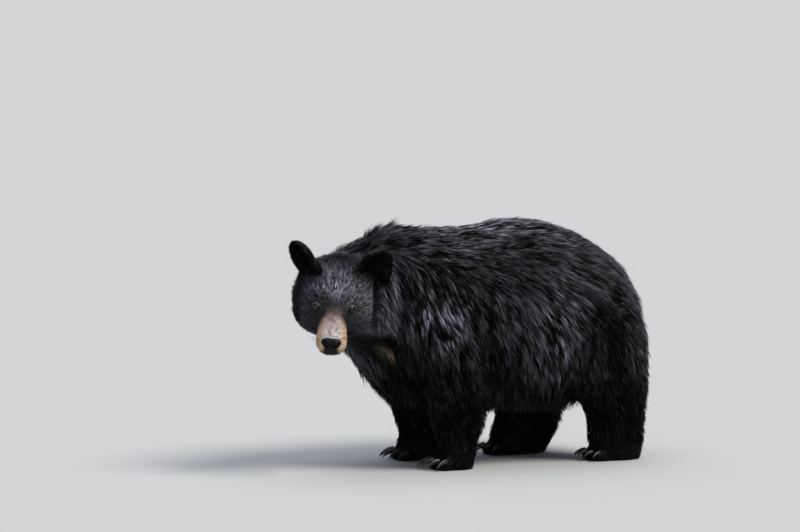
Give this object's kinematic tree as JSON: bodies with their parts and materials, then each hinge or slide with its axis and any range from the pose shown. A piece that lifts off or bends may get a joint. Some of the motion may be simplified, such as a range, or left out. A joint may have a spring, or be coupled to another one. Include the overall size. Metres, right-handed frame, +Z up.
{
  "type": "standing black bear",
  "caption": "Life-size still model of a grown black bear standing on all four feet, its head lowered and turned to its left, with a brown muzzle and a thick black coat.",
  "frame": {"origin": "on the floor, under the middle of the whole animal's box", "axes": "-X is the way that the body faces, -Y is the animal's left, which its face is turned to, and +Z is up"},
  "size_m": [1.378, 0.5714, 0.8445],
  "materials": {
    "coat": "glossy black fur",
    "muzzle": "short brown fur",
    "nose": "damp black nose leather",
    "eye": "wet dark brown eye",
    "claw": "dark worn horn"
  },
  "bodies": {
    "root": {"head": "coat", "muzzle": "muzzle", "lower_jaw": "coat", "nose": "nose", "ear_left": "coat", "ear_right": "coat", "eye_left": "eye", "eye_right": "eye", "neck": "coat", "chest": "coat", "barrel": "coat", "rump": "coat", "tail": "coat", "fore_left_upper_arm": "coat", "fore_left_forearm": "coat", "fore_left_paw": "coat", "claw_fore_left_1": "claw", "claw_fore_left_2": "claw", "claw_fore_left_3": "claw", "claw_fore_left_4": "claw", "claw_fore_left_5": "claw", "fore_right_upper_arm": "coat", "fore_right_forearm": "coat", "fore_right_paw": "coat", "claw_fore_right_1": "claw", "claw_fore_right_2": "claw", "claw_fore_right_3": "claw", "claw_fore_right_4": "claw", "claw_fore_right_5": "claw", "hind_left_thigh": "coat", "hind_left_shank": "coat", "hind_left_foot": "coat", "claw_hind_left_1": "claw", "claw_hind_left_2": "claw", "claw_hind_left_3": "claw", "claw_hind_left_4": "claw", "claw_hind_left_5": "claw", "hind_right_thigh": "coat", "hind_right_shank": "coat", "hind_right_foot": "coat", "claw_hind_right_1": "claw", "claw_hind_right_2": "claw", "claw_hind_right_3": "claw", "claw_hind_right_4": "claw", "claw_hind_right_5": "claw"}
  },
  "joints": []
}
